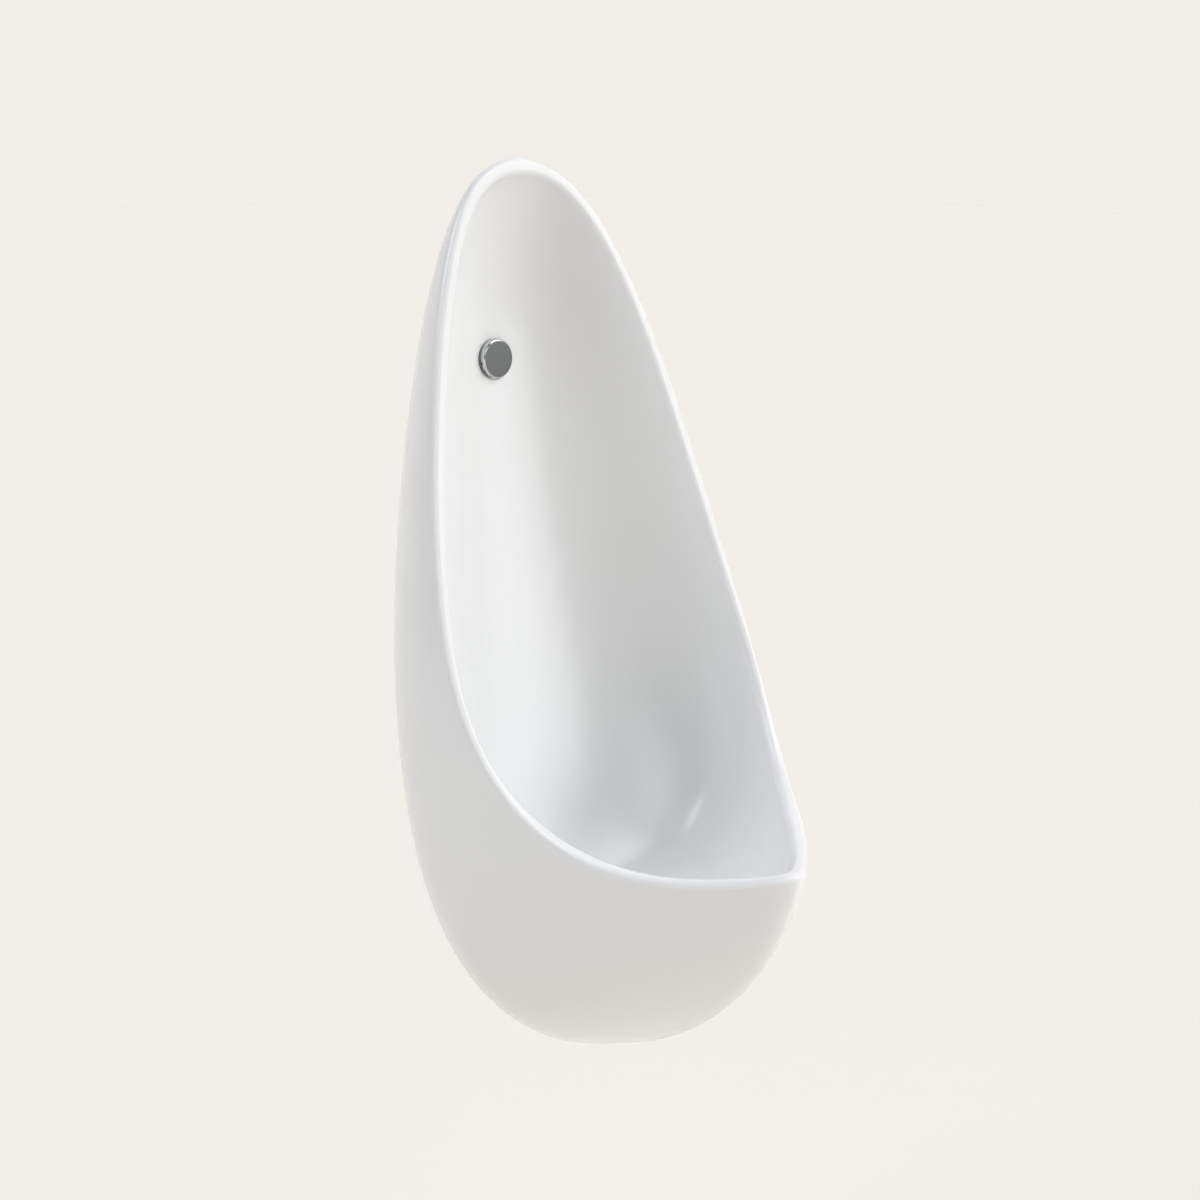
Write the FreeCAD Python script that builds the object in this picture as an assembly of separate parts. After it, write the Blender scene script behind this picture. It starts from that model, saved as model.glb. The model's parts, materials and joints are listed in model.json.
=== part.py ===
import FreeCAD, Part
import math
import os

# Wall hung urinal, millimetres. Heights are counted from the lowest point of the
# ceramic, depths from the wall plane towards the room (-Y). Each node is written
# with its origin on the wall plane at the middle of the two hanger screws.

# ---- outer form of the ceramic ----
# Each pair of powers shapes how a size fades to nothing above or below its peak.
body_height = 702.0
half_width = 169.0
width_height = 292.0
front_reach = 212.5
front_height = 219.0
back_reach = 216.0
back_height = 330.0
spine_depth_top = 66.0
spine_depth_low = 149.5
spine_power = 2.66
width_upper = (1.23, 0.394)
width_lower = (2.67, 0.516)
front_upper = (2.15, 0.543)
front_lower = (1.88, 0.557)
back_upper = (1.6, 0.583)
back_lower = (2.2, 0.43)
flank_back = (0.458, 0.70)
flank_front = (0.803, 0.41)
nose_side = (0.17, 0.93)
outer_steps = (1.0, 1.8, 0.9, 1.6, 0.3)
outer_sections = 22
tip = 0.3

# ---- rim, seen from the side ----
rim_top_depth = 56.0
rim_upper_pull = (133.0, 432.5)
rim_lower_pull = (138.0, 127.6)
rim_past_nose = 12.0
rim_nose_height = 177.0
rim_nose_rise = 3.0
lip_thickness = 13.0
lip_nose_thickness = 15.0
lip_top_thickness = 11.5
lip_radius = 4.8

# ---- bowl hollow ----
seat_radius = 38.0
bowl_wall = 10.0
bowl_floor = 12.0
bowl_lower = (3.0, 0.45)
bowl_round_below_top = 140.0
bowl_round = (2.0, 0.5)
bowl_flank = (0.707, 0.707)
bowl_steps = (1.1, 0.8, 0.85, 1.45, 0.3)
bowl_sections = 22
back_line_top = 20.0
back_line_upper_depth = 25.0
back_line_upper_below_top = 240.0
back_line_lower_pull = (40.0, 215.0)

# ---- rear hollow ----
skin = 10.0
rear_floor = 12.0
rear_below_top = 90.0
rear_sections = 20

# ---- fits ----
slip = 0.3
thread_play = 0.1

# ---- hanger bar and hooks ----
hanger_spacing = 76.0
screw_height = 290.0
bar_bottom = 313.5
bar_height = 26.0
bar_back = 5.0
bar_thickness = 12.0
pad_thickness = 1.5
pad_width = 26.0
hook_width = 30.0
hook_sheet = 3.0
hook_below_screw = 28.0
hook_lip = 10.0
hook_lip_gap = 2.0
screw_radius = 4.0
screw_neck = 3.8
screw_length = 45.0
screw_head_across = 13.0
screw_head = 5.3
screw_hole = 4.5
plate_washer = 1.6
plate_washer_radius = 9.0

# ---- inlet ----
inlet_below_top = 162.0
inlet_seat = 24.5
inlet_back_seat = 13.5
inlet_boss_radius = 23.0
inlet_hole_radius = 14.5
spot_radius = 17.5
spot_depth = 12.0
shank_radius = 13.2
shank_bore = 9.0
shank_back = 3.0
front_seal = 1.0
front_seal_radius = 15.8
spreader_radius = 16.0
spreader_flange = 2.0
head_depth = 3.6
head_face = 1.4
head_edge = 2.0
chamber_radius = 13.0
slot_count = 7
slot_width = 1.8
slot_depth = 1.4
slot_spread = 26.0
regulator_radius = 8.7
regulator_length = 5.0
regulator_rim_radius = 10.5
regulator_rim = 1.0
regulator_hole = 1.5
regulator_holes = 6
regulator_circle = 5.0
back_washer = 2.0
back_washer_radius = 20.0
shank_nut = 5.5
shank_nut_across = 32.0
nipple_thread = 10.48
nipple_thread_length = 21.0
nipple_shoulder = 1.0
nipple_bore = 6.0
nipple_tip = 16.0
o_ring_depth = 11.0
o_ring_width = 2.3
o_ring_inner = 7.4

# ---- waste ----
waste_depth = 150.0
waste_hole_radius = 25.0
waste_thread = 23.9
waste_bore = 21.7
waste_length = 34.0
flange_radius = 36.0
flange_thickness = 4.0
flange_edge = 1.2
flange_recess_radius = 29.3
flange_recess = 2.0
top_seal = 2.0
top_seal_radius = 35.0
under_seal = 3.0
under_seal_radius = 34.0
friction_washer = 1.5
waste_nut = 6.0
waste_nut_radius = 31.0
lug_count = 6
lug_width = 9.0
lug_reach = 4.0

# ---- lift-out strainer ----
strainer_radius = 29.0
strainer_sheet = 1.5
strainer_skirt = 9.0
strainer_skirt_wall = 1.2
strainer_hole = 2.5
strainer_ring_step = 7.8
ring_count = 2
first_ring_count = 6

# ---- trap ----
pipe_radius = 20.0
pipe_wall = 1.8
trap_bend_radius = 37.5
trap_floor_gap = 8.0
trap_straight = 7.0
trap_washer = 2.5
trap_washer_radius = 23.6
trap_nut_radius = 29.0
trap_nut_above = 8.0
trap_nut_lip = 3.0
grip_count = 12
grip_radius = 1.6
riser_straight = 1.5
socket_floor = 2.0
socket_length = 13.0
union_nut_below = 9.0
union_washer = 3.0
arm_straight = 6.0
arm_bend_radius = 32.0
arm_behind_wall = 45.0
arm_start_gap = 0.5
arm_collar_near = -16.0
arm_collar = 2.0
arm_collar_radius = 23.0
wall_seal_length = 10.0
wall_seal_radius = 27.0

# ---- heights of the trap, and of the bowl's waste seat that stands on it ----
trap_bend_height = rear_floor + trap_floor_gap + pipe_radius + trap_bend_radius
tail_end = trap_bend_height + trap_straight + trap_washer
seat_height = tail_end + waste_length - top_seal
socket_low = trap_bend_height + riser_straight
socket_top = socket_low + socket_length
arm_rise = socket_top + arm_straight


def vec(x, depth, height):
    return FreeCAD.Vector(x, -depth, height)


def fade(height, peak, top, bottom, upper, lower):
    """1 at the peak height, 0 at the top and at the bottom."""
    if height >= peak:
        share = (height - peak) / (top - peak)
        return (1.0 - share ** upper[0]) ** upper[1]
    share = (peak - height) / (peak - bottom)
    return (1.0 - share ** lower[0]) ** lower[1]


def spine(height):
    """Depth of the widest line of a level section."""
    share = height / body_height
    return spine_depth_low + (spine_depth_top - spine_depth_low) * share ** spine_power


def bezier(points, t):
    """Point of a cubic Bezier curve given by four (depth, height) pairs."""
    weights = ((1 - t) ** 3, 3 * t * (1 - t) ** 2, 3 * t * t * (1 - t), t ** 3)
    return tuple(sum(w * p[i] for w, p in zip(weights, points)) for i in (0, 1))


def bezier_depth(points, height):
    """Depth of a curve that falls steadily, at one height."""
    low, high = 0.0, 1.0
    for _ in range(50):
        mid = (low + high) / 2
        if bezier(points, mid)[1] > height:
            low = mid
        else:
            high = mid
    return bezier(points, low)[0]


def section(width, centre, back, front, height, sides, steps):
    """Closed smooth level outline, the same on both sides of the centre line."""
    flank, cheek, nose = sides
    outline = [
        (0.0, centre - back),
        (flank[0] * width, centre - flank[1] * back),
        (width, centre),
        (cheek[0] * width, centre + cheek[1] * front),
        (nose[0] * width, centre + nose[1] * front),
        (0.0, centre + front),
    ]
    marks = [0.0]
    for step in steps:
        marks.append(marks[-1] + step)
    curve = Part.BSplineCurve()
    curve.interpolate(
        Points=[vec(x, depth, height) for x, depth in outline],
        Parameters=marks,
        InitialTangent=FreeCAD.Vector(flank[0] * width / steps[0], 0, 0),
        FinalTangent=FreeCAD.Vector(-nose[0] * width / steps[-1], 0, 0),
        Scale=False,
    )
    right = curve.toShape()
    left = right.mirror(FreeCAD.Vector(0, 0, 0), FreeCAD.Vector(1, 0, 0))
    return Part.Wire([right, left])


def stations(low, high, count, squeeze_low=True, squeeze_high=True):
    """Heights from low to high, closer together at the squeezed ends."""
    start = 0.04 if squeeze_low else math.pi / 2
    end = math.pi - 0.04 if squeeze_high else math.pi / 2
    first, last = math.cos(start), math.cos(end)
    found = []
    for i in range(count):
        angle = start + (end - start) * i / (count - 1)
        found.append(low + (high - low) * (first - math.cos(angle)) / (first - last))
    return found


def hull(inset, bottom, top, low, high, count, squeeze_high):
    """Outer form of the ceramic, drawn in by one inset on every side."""
    outer_sides = (flank_back, flank_front, nose_side)
    wires = []
    for height in stations(low, high, count, True, squeeze_high):
        width = (half_width - inset) * fade(
            height, width_height, top, bottom, width_upper, width_lower)
        front = (front_reach - inset) * fade(
            height, front_height, top, bottom, front_upper, front_lower)
        back = (back_reach - inset) * fade(
            height, back_height, top, bottom, back_upper, back_lower)
        wires.append(section(width, spine(height), back, front, height, outer_sides,
            outer_steps))
    return Part.makeLoft(wires, True, False)


def rim_line():
    """The rim's side outline: four (depth, height) control points."""
    nose = spine(rim_nose_height) + front_reach * fade(
        rim_nose_height, front_height, body_height, 0.0, front_upper, front_lower)
    return (
        (rim_top_depth, body_height),
        rim_upper_pull,
        rim_lower_pull,
        (nose + rim_past_nose, rim_nose_height + rim_nose_rise),
    )


def rim_cutter():
    """Everything in front of the rim line, wider than the ceramic."""
    line = rim_line()
    side = 2 * half_width
    far = line[3][0] + side
    high = body_height + side
    curve = Part.BezierCurve()
    curve.setPoles([vec(-side, depth, height) for depth, height in line])
    corners = [line[3], (far, line[3][1]), (far, high), (rim_top_depth, high), line[0]]
    edges = [curve.toShape()]
    for start, end in zip(corners, corners[1:]):
        edges.append(Part.makeLine(vec(-side, *start), vec(-side, *end)))
    return Part.Face(Part.Wire(edges)).extrude(FreeCAD.Vector(2 * side, 0, 0))


def blend(a, b, share):
    return a + (b - a) * share


def bowl(grow, floor):
    """The bowl's hollow, or that hollow with a wall and a floor round it."""
    top = body_height - lip_top_thickness
    round_from = body_height - bowl_round_below_top
    back_line = (
        (back_line_top, top),
        (back_line_upper_depth, body_height - back_line_upper_below_top),
        back_line_lower_pull,
        (waste_depth - seat_radius, seat_height),
    )
    round_cheek = (0.809, 0.588)
    round_nose = (0.17, 0.985)
    wires = []
    for height in stations(seat_height, top - tip, bowl_sections):
        wide = fade(height, width_height, top, seat_height, width_upper, bowl_lower)
        long = fade(height, front_height, top, seat_height, front_upper, bowl_lower)
        share = wide if height < width_height else 1.0
        share_front = long if height < front_height else 1.0
        width = blend(seat_radius, half_width - lip_thickness, share)
        front = blend(seat_radius, front_reach - lip_nose_thickness, share_front)
        if height >= width_height:
            width *= wide
        if height >= front_height:
            front *= long
        centre = blend(waste_depth, spine(height), share)
        back = centre - bezier_depth(back_line, height)
        if height > round_from:
            rise = (height - round_from) / (top - round_from)
            back *= (1.0 - rise ** bowl_round[0]) ** bowl_round[1]
        sides = (
            bowl_flank,
            [blend(a, b, share) for a, b in zip(round_cheek, flank_front)],
            [blend(a, b, share) for a, b in zip(round_nose, nose_side)],
        )
        level = height - floor * (1.0 - share)
        wires.append(section(
            width + grow, centre, back + grow, front + grow, level, sides, bowl_steps))
    return Part.makeLoft(wires, True, False)


def block(x, depth, height):
    """Box between two limits along each axis."""
    corner = vec(x[0], depth[1], height[0])
    return Part.makeBox(x[1] - x[0], depth[1] - depth[0], height[1] - height[0], corner)


def rod(radius, x, height, near, far):
    """Cylinder along the depth axis."""
    axis = FreeCAD.Vector(0, -1, 0)
    return Part.makeCylinder(radius, far - near, vec(x, near, height), axis)


def post(radius, depth, low, high):
    """Upright cylinder on the centre line."""
    return Part.makeCylinder(radius, high - low, vec(0.0, depth, low))


def level_ring(outer, inner, x, height, near, far):
    return rod(outer, x, height, near, far).cut(rod(inner, x, height, near, far))


def upright_ring(outer, inner, depth, low, high):
    return post(outer, depth, low, high).cut(post(inner, depth, low, high))


def hexagon(across, x, height, near, far):
    """Hexagonal bar along the depth axis, flats up and down."""
    radius = across / math.sqrt(3.0)
    corners = []
    for i in range(7):
        angle = math.radians(60.0 * i)
        corners.append(vec(
            x + radius * math.cos(angle), near, height + radius * math.sin(angle)))
    return Part.Face(Part.makePolygon(corners)).extrude(vec(0.0, far - near, 0.0))


def save(name, shape):
    """Writes one node, moved so that the screws' middle is the origin."""
    solid = shape.Solids[0]
    solid.translate(FreeCAD.Vector(0, 0, -screw_height))
    solid.exportStep("parts/" + name + ".step")


def ceramic():
    """The whole ceramic: one half is shaped and rounded, then mirrored and sewn."""
    far = 2 * body_height
    behind = block((-far, far), (-far, 0.0), (-far, far))
    other_side = block((-far, 0.0), (-far, far), (-far, far))
    outer = hull(0.0, 0.0, body_height, tip, body_height - tip, outer_sections, True)
    half = outer.cut(other_side).cut(behind).cut(rim_cutter()).cut(bowl(0.0, 0.0))
    half = half.Solids[0]
    rim = [f for f in half.Faces if f.Surface.TypeId == "Part::GeomSurfaceOfExtrusion"][0]
    half = half.makeFillet(lip_radius, [e for e in rim.Edges if e.Length > half_width])

    rear_top = body_height - rear_below_top
    rear_low = rear_floor + tip
    rear = hull(skin, rear_floor, body_height - skin, rear_low, rear_top, rear_sections, False)
    rear = rear.cut(bowl(bowl_wall, bowl_floor)).cut(other_side)
    bar = block((-half_width, half_width), (bar_back, bar_back + bar_thickness),
                (bar_bottom, bar_bottom + bar_height))
    half = half.cut(rear.cut(bar)).Solids[0]

    faces = [f for f in half.Faces if f.optimalBoundingBox(True, False).XMax > 0.01]
    mirrored = [f.mirror(FreeCAD.Vector(0, 0, 0), FreeCAD.Vector(1, 0, 0)) for f in faces]
    skin_shell = Part.Compound(faces + mirrored)
    skin_shell.sewShape()
    whole = Part.Solid(skin_shell.Shells[0]).removeSplitter()

    high = body_height - inlet_below_top
    whole = whole.fuse(rod(inlet_boss_radius, 0.0, high, inlet_back_seat, inlet_seat))
    whole = whole.cut(rod(spot_radius, 0.0, high, inlet_seat, inlet_seat + spot_depth))
    whole = whole.cut(rod(inlet_hole_radius, 0.0, high, 0.0, inlet_seat + 1.0))
    hole_low = seat_height - 2 * bowl_floor
    return whole.cut(post(waste_hole_radius, waste_depth, hole_low, seat_height + 1.0))


def hanger(side, name):
    """Hook plate, pad, washer and screw at one side."""
    x = side * hanger_spacing / 2
    arm_top = bar_bottom - pad_thickness
    lip_near = bar_back + bar_thickness + hook_lip_gap
    lip_far = lip_near + hook_sheet
    wide = (x - hook_width / 2, x + hook_width / 2)
    plate = block(wide, (0.0, hook_sheet), (screw_height - hook_below_screw, arm_top))
    arm = block(wide, (0.0, lip_far), (arm_top - hook_sheet, arm_top))
    lip = block(wide, (lip_near, lip_far), (arm_top - hook_sheet, arm_top + hook_lip))
    hook = plate.fuse([arm, lip]).removeSplitter()
    save("hanger_" + name, hook.cut(rod(screw_hole, x, screw_height, -1.0, hook_sheet + 1.0)))

    save("hanger_pad_" + name, block(
        (x - pad_width / 2, x + pad_width / 2), (bar_back, bar_back + bar_thickness),
        (arm_top, bar_bottom)))

    head_near = hook_sheet + plate_washer
    save("hanger_washer_" + name, level_ring(
        plate_washer_radius, screw_radius + slip, x, screw_height, hook_sheet, head_near))
    thread = rod(screw_radius, x, screw_height, head_near - screw_length, 0.0)
    neck = rod(screw_neck, x, screw_height, 0.0, head_near)
    head = hexagon(screw_head_across, x, screw_height, head_near, head_near + screw_head)
    save("hanger_screw_" + name, thread.fuse([neck, head]))


def inlet():
    """Spreader, its seals and nut, and the supply nipple from the wall."""
    z = body_height - inlet_below_top
    flange_near = inlet_seat + front_seal
    flange_far = flange_near + spreader_flange
    head_far = flange_far + head_depth
    save("spreader_front_seal", level_ring(
        front_seal_radius, shank_radius + slip, 0.0, z, inlet_seat, flange_near))

    body = rod(shank_radius, 0.0, z, shank_back, flange_near)
    body = body.fuse(rod(spreader_radius, 0.0, z, flange_near, flange_far)).removeSplitter()
    body = body.cut(rod(shank_bore, 0.0, z, 0.0, flange_far + 1.0))
    rim_near = flange_far - regulator_rim
    body = body.cut(rod(regulator_rim_radius + slip, 0.0, z, rim_near, flange_far + 1.0))
    save("spreader_body", body)

    regulator = rod(regulator_radius, 0.0, z, rim_near - regulator_length, rim_near)
    regulator = regulator.fuse(rod(regulator_rim_radius, 0.0, z, rim_near, flange_far))
    for i in range(regulator_holes):
        angle = 2 * math.pi * i / regulator_holes
        across, up = regulator_circle * math.cos(angle), regulator_circle * math.sin(angle)
        regulator = regulator.cut(rod(regulator_hole, across, z + up, 0.0, flange_far + 1.0))
    save("flow_regulator", regulator)

    head = rod(spreader_radius, 0.0, z, flange_far, head_far)
    front = [e for e in head.Edges if abs(e.CenterOfMass.y + head_far) < 0.01]
    head = head.makeFillet(head_edge, front)
    head = head.cut(rod(chamber_radius, 0.0, z, flange_far, head_far - head_face))
    slot_side = (-slot_width / 2, slot_width / 2)
    for i in range(slot_count):
        slot = block(slot_side, (flange_far, flange_far + slot_depth),
                     (z - spreader_radius - 1.0, z - chamber_radius + 2.0))
        turn = slot_spread * (i - (slot_count - 1) / 2)
        slot.rotate(vec(0.0, 0.0, z), FreeCAD.Vector(0, 1, 0), turn)
        head = head.cut(slot)
    save("spreader_head", head)

    washer_near = inlet_back_seat - back_washer
    save("spreader_back_washer", level_ring(
        back_washer_radius, shank_radius + slip, 0.0, z, washer_near, inlet_back_seat))
    nut_near = washer_near - shank_nut
    nut = hexagon(shank_nut_across, 0.0, z, nut_near, washer_near)
    save("spreader_locknut", nut.cut(
        rod(shank_radius + thread_play, 0.0, z, nut_near - 1.0, washer_near + 1.0)))

    thread_near = -nipple_shoulder - nipple_thread_length
    nipple = rod(nipple_thread, 0.0, z, thread_near, -nipple_shoulder)
    nipple = nipple.fuse(rod(shank_bore - slip, 0.0, z, -nipple_shoulder, nipple_tip))
    nipple = nipple.cut(rod(nipple_bore, 0.0, z, thread_near - 1.0, nipple_tip + 1.0))
    groove = (o_ring_depth, o_ring_depth + o_ring_width)
    save("supply_nipple", nipple.cut(level_ring(shank_bore, o_ring_inner, 0.0, z, *groove)))
    save("inlet_o_ring", level_ring(shank_bore, o_ring_inner, 0.0, z, *groove))


def waste():
    """Waste body through the bowl floor, its seals and nut, and the strainer."""
    depth = waste_depth
    flange_low = seat_height + top_seal
    flange_top = flange_low + flange_thickness
    ledge = flange_top - flange_recess
    sleeve = waste_thread + slip
    save("waste_top_seal", upright_ring(top_seal_radius, sleeve, depth, seat_height, flange_low))

    body = post(waste_thread, depth, tail_end, flange_low)
    plate = post(flange_radius, depth, flange_low, flange_top)
    rim = [e for e in plate.Edges if abs(e.CenterOfMass.z - flange_top) < 0.01]
    plate = plate.makeFillet(flange_edge, rim)
    body = body.fuse(plate).cut(post(waste_bore, depth, tail_end - 1.0, flange_top + 1.0))
    save("waste_body", body.cut(post(flange_recess_radius, depth, ledge, flange_top + 1.0)))

    strainer = post(strainer_radius, depth, ledge, ledge + strainer_sheet)
    skirt_outer = waste_bore - slip
    strainer = strainer.fuse(upright_ring(
        skirt_outer, skirt_outer - strainer_skirt_wall, depth, ledge - strainer_skirt, ledge))
    for ring in range(ring_count + 1):
        around = max(1, ring * first_ring_count)
        radius = ring * strainer_ring_step
        for i in range(around):
            angle = 2 * math.pi * i / around
            hole = Part.makeCylinder(strainer_hole, strainer_sheet + 2.0, vec(
                radius * math.cos(angle), depth + radius * math.sin(angle), ledge - 1.0))
            strainer = strainer.cut(hole)
    save("strainer", strainer)

    under = seat_height - bowl_floor
    washer_top = under - under_seal
    nut_top = washer_top - friction_washer
    nut_low = nut_top - waste_nut
    save("waste_under_seal", upright_ring(under_seal_radius, sleeve, depth, washer_top, under))
    save("waste_friction_washer", upright_ring(
        under_seal_radius, sleeve, depth, nut_top, washer_top))
    nut = post(waste_nut_radius, depth, nut_low, nut_top)
    for i in range(lug_count):
        reach = waste_nut_radius + lug_reach
        lug = block((-lug_width / 2, lug_width / 2), (depth, depth + reach), (nut_low, nut_top))
        lug.rotate(vec(0.0, depth, 0.0), FreeCAD.Vector(0, 0, 1), 360.0 * i / lug_count)
        nut = nut.fuse(lug)
    nut = nut.cut(post(waste_thread + thread_play, depth, nut_low - 1.0, nut_top + 1.0))
    save("waste_locknut", nut)


def grip_nut(depth, low, high, lip_low, lip_high):
    """Round nut with grip ribs, a threaded bore and a lip round the pipe."""
    nut = post(trap_nut_radius, depth, low, high)
    for i in range(grip_count):
        angle = 2 * math.pi * i / grip_count
        rib = Part.makeCylinder(grip_radius, high - low, vec(
            trap_nut_radius * math.sin(angle),
            depth + trap_nut_radius * math.cos(angle), low))
        nut = nut.fuse(rib)
    nut = nut.cut(post(waste_thread + thread_play, depth, low - 1.0, high + 1.0))
    return nut.fuse(upright_ring(
        waste_thread + 1.0, pipe_radius + slip, depth, lip_low, lip_high))


def pipe_run(points, centres):
    """Straight, bent, straight pipe between four (depth, height) points."""
    shapes = []
    for radius in (pipe_radius, pipe_radius - pipe_wall):
        start, bend_in, bend_out, end = (vec(0.0, *p) for p in points)
        middle = vec(0.0, *centres)
        path = Part.Wire([
            Part.makeLine(start, bend_in),
            Part.Arc(bend_in, middle, bend_out).toShape(),
            Part.makeLine(bend_out, end),
        ])
        ring = Part.Wire(Part.makeCircle(radius, start, bend_in - start))
        shapes.append(path.makePipeShell([ring], True, False))
    return shapes[0].cut(shapes[1])


def trap():
    """U bend, its two nuts and washers, the arm to the wall and the wall seal."""
    depth = waste_depth
    riser = waste_depth - 2 * trap_bend_radius
    flange_top = tail_end - trap_washer
    flange_low = flange_top - trap_washer
    bore = pipe_radius - pipe_wall
    save("trap_inlet_washer", upright_ring(
        trap_washer_radius, bore, depth, flange_top, tail_end))
    bend = pipe_run(
        ((depth, flange_top), (depth, trap_bend_height),
         (riser, trap_bend_height), (riser, socket_low + socket_floor)),
        (depth - trap_bend_radius, trap_bend_height - trap_bend_radius))
    bend = bend.fuse(upright_ring(trap_washer_radius, bore, depth, flange_low, flange_top))
    bend = bend.fuse(upright_ring(
        waste_thread, bore, riser, socket_low, socket_low + socket_floor))
    bend = bend.fuse(upright_ring(
        waste_thread, pipe_radius + slip, riser, socket_low + socket_floor, socket_top))
    save("trap_bend", bend)
    save("trap_inlet_nut", grip_nut(
        depth, flange_low - trap_nut_lip, tail_end + trap_nut_above,
        flange_low - trap_nut_lip, flange_low))

    washer_top = socket_top + union_washer
    nut_top = washer_top + trap_nut_lip
    save("trap_union_washer", upright_ring(
        trap_washer_radius, pipe_radius, riser, socket_top, washer_top))
    save("trap_union_nut", grip_nut(
        riser, socket_top - union_nut_below, nut_top, washer_top, nut_top))

    turned = arm_bend_radius * math.sqrt(0.5)
    centre = (riser - arm_bend_radius, arm_rise)
    outlet = arm_rise + arm_bend_radius
    arm = pipe_run(
        ((riser, socket_low + socket_floor + arm_start_gap), (riser, arm_rise),
         (centre[0], outlet), (-arm_behind_wall, outlet)),
        (centre[0] + turned, centre[1] + turned))
    collar_far = arm_collar_near + arm_collar
    collar = (arm_collar_radius, bore, 0.0, outlet, arm_collar_near, collar_far)
    save("trap_arm", arm.fuse(level_ring(*collar)))
    save("wall_pipe_seal", level_ring(
        wall_seal_radius, pipe_radius, 0.0, outlet, collar_far, collar_far + wall_seal_length))


os.makedirs("parts", exist_ok=True)
save("ceramic_body", ceramic())
hanger(-1, "left")
hanger(1, "right")
inlet()
waste()
trap()
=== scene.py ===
import json
import math

import bpy
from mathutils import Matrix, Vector

# Wall hung urinal: materials for the CAD nodes, floor, light and camera. Lengths in metres.

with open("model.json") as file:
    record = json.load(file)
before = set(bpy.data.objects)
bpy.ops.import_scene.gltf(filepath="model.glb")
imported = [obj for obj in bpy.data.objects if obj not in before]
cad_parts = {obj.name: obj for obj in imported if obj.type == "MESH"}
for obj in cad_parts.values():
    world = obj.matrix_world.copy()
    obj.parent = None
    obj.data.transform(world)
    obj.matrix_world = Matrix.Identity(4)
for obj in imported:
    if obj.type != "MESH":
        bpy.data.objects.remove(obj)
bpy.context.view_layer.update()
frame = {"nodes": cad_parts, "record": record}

# ---- materials ----
relief_depth = 0.0005

# Two colours that soft noise mixes, the size of that noise, the roughness and how far the
# noise adds to it. Some have relief, a stretched grain or values of their own for gloss.
looks = {
    "white_glaze": dict(
        colour=(0.86, 0.86, 0.857), second=(0.84, 0.84, 0.837), scale=9.0,
        rough=0.20, rough_span=0.05, bump=0.6,
        sockets=(("Coat Weight", 0.12), ("Coat Roughness", 0.05), ("IOR", 1.52),
                 ("Specular IOR Level", 0.4))),
    "chrome": dict(
        colour=(0.66, 0.67, 0.68), second=(0.58, 0.59, 0.60), scale=40.0,
        rough=0.10, rough_span=0.08, metallic=1.0),
    "stainless_steel": dict(
        colour=(0.60, 0.60, 0.60), second=(0.50, 0.50, 0.51), scale=60.0,
        rough=0.22, rough_span=0.12, bump=0.05, metallic=1.0, stretch=(1.0, 14.0, 1.0)),
    "zinc_steel": dict(
        colour=(0.52, 0.54, 0.56), second=(0.42, 0.44, 0.47), scale=90.0,
        rough=0.32, rough_span=0.16, bump=0.05, metallic=1.0),
    "brass": dict(
        colour=(0.62, 0.45, 0.20), second=(0.52, 0.37, 0.16), scale=70.0,
        rough=0.25, rough_span=0.12, bump=0.04, metallic=1.0),
    "black_rubber": dict(
        colour=(0.018, 0.018, 0.019), second=(0.03, 0.03, 0.031), scale=200.0,
        rough=0.62, rough_span=0.15, bump=0.15),
    "grey_fibre": dict(
        colour=(0.22, 0.22, 0.21), second=(0.16, 0.16, 0.155), scale=300.0,
        rough=0.75, rough_span=0.12, bump=0.25),
    "white_plastic": dict(
        colour=(0.76, 0.76, 0.74), second=(0.72, 0.72, 0.70), scale=30.0,
        rough=0.30, rough_span=0.10, bump=0.03),
}
floor_look = dict(
    colour=(0.92, 0.872, 0.812), second=(0.91, 0.862, 0.802), scale=2.0,
    rough=0.9, rough_span=0.05, sockets=(("Specular IOR Level", 0.0),))


def surface(name, colour, second, scale, rough, rough_span, bump=0.0, metallic=0.0,
            stretch=(1.0, 1.0, 1.0), sockets=()):
    """Principled material whose colour, roughness and relief vary with soft noise."""
    mat = bpy.data.materials.new(name)
    mat.use_nodes = True
    nodes, links = mat.node_tree.nodes, mat.node_tree.links
    shader = nodes["Principled BSDF"]
    place = nodes.new("ShaderNodeTexCoord")
    mapping = nodes.new("ShaderNodeMapping")
    mapping.inputs["Scale"].default_value = stretch
    noise = nodes.new("ShaderNodeTexNoise")
    noise.inputs["Scale"].default_value = scale
    noise.inputs["Detail"].default_value = 4.0
    links.new(place.outputs["Object"], mapping.inputs["Vector"])
    links.new(mapping.outputs["Vector"], noise.inputs["Vector"])
    mix = nodes.new("ShaderNodeMix")
    mix.data_type = "RGBA"
    mix.inputs["A"].default_value = (*colour, 1.0)
    mix.inputs["B"].default_value = (*second, 1.0)
    links.new(noise.outputs["Fac"], mix.inputs["Factor"])
    links.new(mix.outputs["Result"], shader.inputs["Base Color"])
    span = nodes.new("ShaderNodeMapRange")
    span.inputs["To Min"].default_value = rough
    span.inputs["To Max"].default_value = rough + rough_span
    links.new(noise.outputs["Fac"], span.inputs["Value"])
    links.new(span.outputs["Result"], shader.inputs["Roughness"])
    if bump:
        relief = nodes.new("ShaderNodeBump")
        relief.inputs["Strength"].default_value = bump
        relief.inputs["Distance"].default_value = relief_depth
        links.new(noise.outputs["Fac"], relief.inputs["Height"])
        links.new(relief.outputs["Normal"], shader.inputs["Normal"])
    shader.inputs["Metallic"].default_value = metallic
    for socket, value in sockets:
        shader.inputs[socket].default_value = value
    return mat


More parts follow.
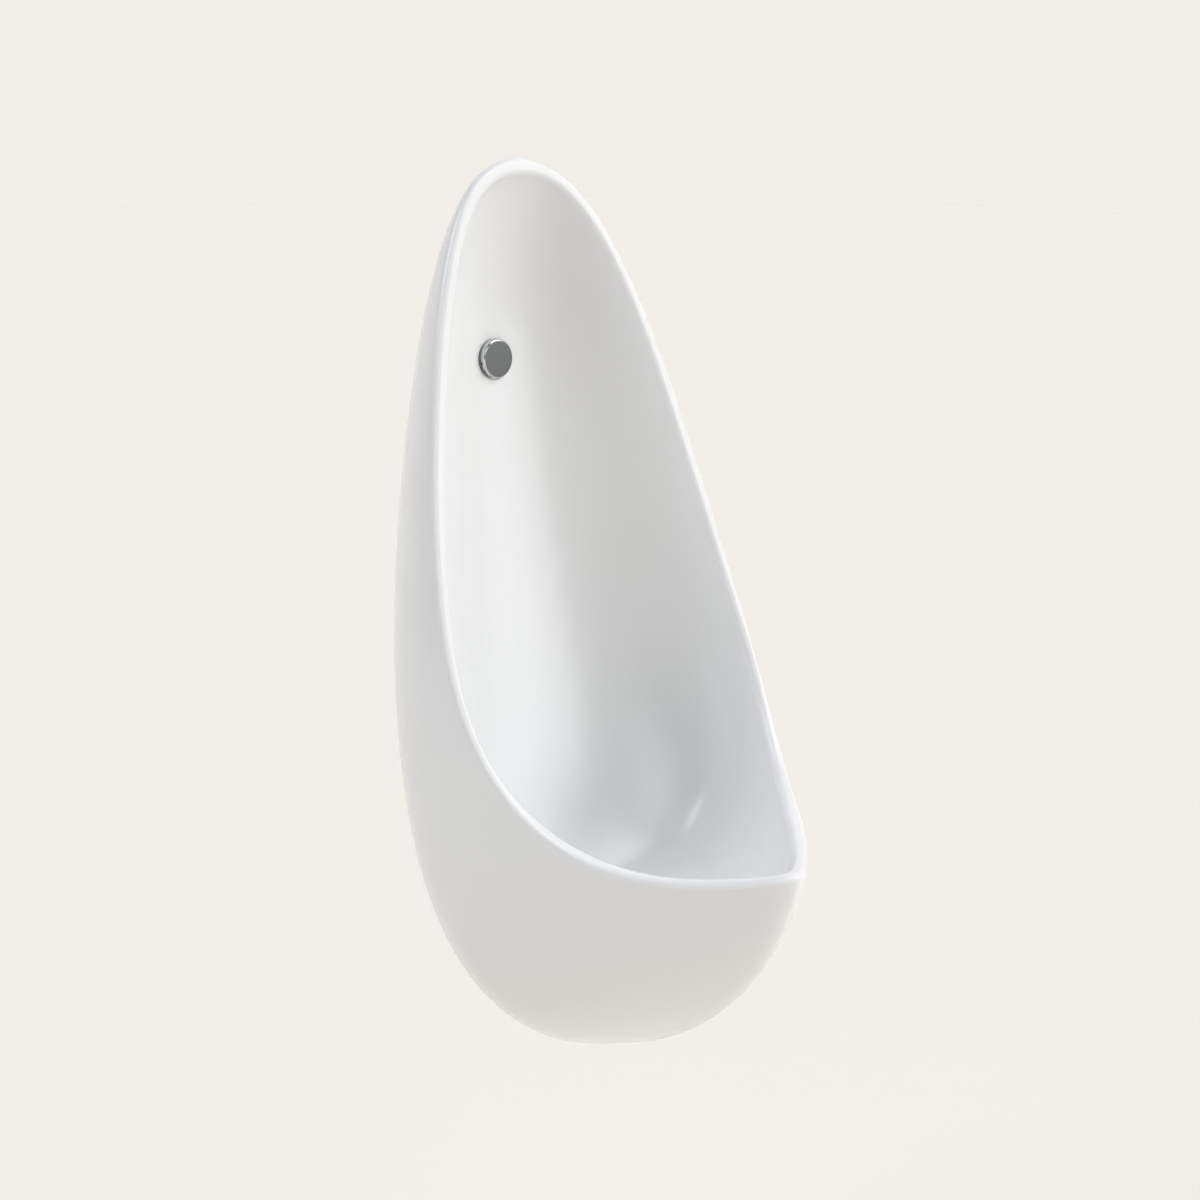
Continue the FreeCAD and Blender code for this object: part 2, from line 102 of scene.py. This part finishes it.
def facing_share(nodes, links, facing_of, towards, start, full):
    """Share from 0 to 1 that grows as a direction turns towards the given one."""
    facing = nodes.new("ShaderNodeVectorMath")
    facing.operation = "DOT_PRODUCT"
    facing.inputs[1].default_value = Vector(towards).normalized()
    links.new(facing_of, facing.inputs[0])
    share = nodes.new("ShaderNodeMapRange")
    share.inputs["From Min"].default_value = start
    share.inputs["From Max"].default_value = full
    links.new(facing.outputs["Value"], share.inputs["Value"])
    return share


def one_way(mat, towards, tint, rougher):
    """Tint and roughen those faces of the material that are turned one way."""
    nodes, links = mat.node_tree.nodes, mat.node_tree.links
    shader = nodes["Principled BSDF"]
    place = nodes.new("ShaderNodeTexCoord")
    share = facing_share(nodes, links, place.outputs["Normal"], towards, 0.93, 0.98)
    tinted = nodes.new("ShaderNodeMix")
    tinted.data_type = "RGBA"
    tinted.blend_type = "MULTIPLY"
    tinted.inputs["B"].default_value = (*tint, 1.0)
    links.new(share.outputs["Result"], tinted.inputs["Factor"])
    links.new(shader.inputs["Base Color"].links[0].from_socket, tinted.inputs["A"])
    links.new(tinted.outputs["Result"], shader.inputs["Base Color"])
    roughened = nodes.new("ShaderNodeMath")
    roughened.operation = "MULTIPLY_ADD"
    roughened.inputs[1].default_value = rougher
    links.new(share.outputs["Result"], roughened.inputs[0])
    links.new(shader.inputs["Roughness"].links[0].from_socket, roughened.inputs[2])
    links.new(roughened.outputs["Value"], shader.inputs["Roughness"])


finishes = {slot: surface(slot, **look) for slot, look in looks.items()}

# The face of the spreader is darkened by colour as a painted dark reflection and made
# rougher, and the back of the ceramic is left unglazed.
one_way(finishes["chrome"], (0.0, -1.0, 0.0), (0.215, 0.225, 0.22), 0.12)
one_way(finishes["white_glaze"], (0.0, 1.0, 0.0), (0.88, 0.85, 0.80), 0.45)

slot_of = {part["node"]: part["material_slot"] for part in frame["record"]["subparts"]}
for name, node in frame["nodes"].items():
    node.data.materials.clear()
    node.data.materials.append(finishes[slot_of[name]])

# ---- floor ----
floor_height = -0.76
floor_size = 80.0
bpy.ops.mesh.primitive_plane_add(size=floor_size, location=(0.0, 0.0, floor_height))
floor = bpy.context.object
floor.name = "floor"
floor.data.materials.append(surface("pale_floor", **floor_look))

# ---- light ----
# The room glows softly from six sides and is dark towards the camera: where each glow is,
# the share of facing it where it starts and is full, its brightness and its tint.
warm = (1.038, 1.0, 0.953)
plain = (0.985, 1.0, 1.02)
cool = (0.945, 1.0, 1.07)
soft_box = (0.92, 1.0)
glows = {
    "backdrop": ((1.0, 1.0, 0.0), (0.0, 0.75), 0.855, warm),
    "front_right": ((0.57, -0.82, 0.0), soft_box, 3.8, plain),
    "front_left_high": ((-0.23, -0.88, 0.42), soft_box, 1.8, plain),
    "right_high": ((0.78, -0.45, 0.42), soft_box, 3.3, plain),
    "left_overhead": ((-0.63, 0.11, 0.77), soft_box, 5.8, cool),
    "right_overhead": ((0.37, -0.53, 0.77), soft_box, 3.7, plain),
}
scene = bpy.context.scene
scene.view_settings.view_transform = "Standard"
world = bpy.data.worlds.new("studio")
world.use_nodes = True
sky, wires = world.node_tree.nodes, world.node_tree.links
direction = sky.new("ShaderNodeTexCoord")
total = None
for name, (towards, (start, full), strength, tint) in glows.items():
    share = facing_share(sky, wires, direction.outputs["Generated"], towards, start, full)
    share.interpolation_type = "SMOOTHSTEP"
    colour = sky.new("ShaderNodeVectorMath")
    colour.operation = "SCALE"
    colour.name = name
    colour.inputs[0].default_value = [strength * part for part in tint]
    wires.new(share.outputs["Result"], colour.inputs["Scale"])
    light = colour.outputs["Vector"]
    if total is not None:
        both = sky.new("ShaderNodeVectorMath")
        wires.new(total, both.inputs[0])
        wires.new(light, both.inputs[1])
        light = both.outputs["Vector"]
    total = light
wires.new(total, sky["Background"].inputs["Color"])
scene.world = world

# ---- camera ----
turn = math.radians(45.0)
rise = math.radians(9.9)
reach = 2.05
aim = Vector((0.0, -0.146, 0.0676))
back = Vector((
    -math.sin(turn) * math.cos(rise), -math.cos(turn) * math.cos(rise), math.sin(rise)))
camera_data = bpy.data.cameras.new("camera")
camera_data.sensor_width = 36.0
camera_data.lens = 78.4
camera = bpy.data.objects.new("camera", camera_data)
camera.location = aim + back * reach
camera.rotation_euler = (-back).to_track_quat("-Z", "Y").to_euler()
scene.collection.objects.link(camera)
scene.camera = camera
